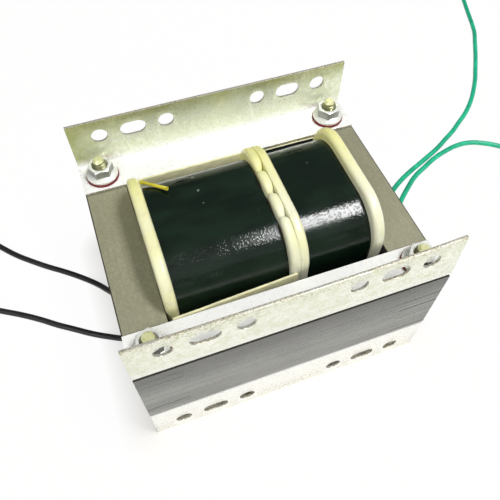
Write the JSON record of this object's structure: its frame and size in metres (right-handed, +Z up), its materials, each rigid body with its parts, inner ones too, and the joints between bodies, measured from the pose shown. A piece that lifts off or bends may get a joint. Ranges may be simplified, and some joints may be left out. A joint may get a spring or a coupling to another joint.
{
  "type": "high-voltage transformer",
  "caption": "Open-frame high-voltage transformer: laminated core, nylon bobbins in black wrap side by side, drilled angle brackets and flying leads.",
  "frame": {"origin": "on the floor, under the middle of the core, at the level of the lower flanges' free edges", "axes": "+X along the coil axis towards the green leads, +Y from the front brackets to the rear ones, +Z up"},
  "size_m": [0.3566, 0.2148, 0.076],
  "materials": {
    "core_steel": "satin",
    "galvanised_sheet": "satin",
    "yellow_zinc": "gloss",
    "bright_zinc": "gloss",
    "insulating_tube": "matte",
    "red_fibre": "matte",
    "natural_nylon": "satin",
    "copper_wire": "satin",
    "black_wrap": "gloss",
    "liner_board": "matte",
    "yellow_sleeve": "satin",
    "black_lead": "satin",
    "green_lead": "satin",
    "white_tie": "satin",
    "tinned_wire": "satin"
  },
  "bodies": {
    "root": {"e_laminations": "core_steel", "i_laminations": "core_steel", "front_upper_bracket": "galvanised_sheet", "rear_upper_bracket": "galvanised_sheet", "front_lower_bracket": "galvanised_sheet", "rear_lower_bracket": "galvanised_sheet", "clamp_bolts": "yellow_zinc", "bolt_sleeves": "insulating_tube", "fibre_washers": "red_fibre", "flange_nuts": "bright_zinc", "left_bobbin": "natural_nylon", "right_bobbin": "natural_nylon", "left_winding": "copper_wire", "right_winding": "copper_wire", "left_wrap": "black_wrap", "right_wrap": "black_wrap", "left_front_liner": "liner_board", "left_rear_liner": "liner_board", "right_rear_liner": "liner_board", "start_sleeve": "yellow_sleeve", "black_lead_1": "black_lead", "black_lead_2": "black_lead", "green_lead_1": "green_lead", "green_lead_2": "green_lead", "black_coil_1": "black_lead", "black_coil_2": "black_lead", "green_coil_2": "green_lead", "coil_ties": "white_tie", "tinned_ends": "tinned_wire"}
  },
  "joints": []
}
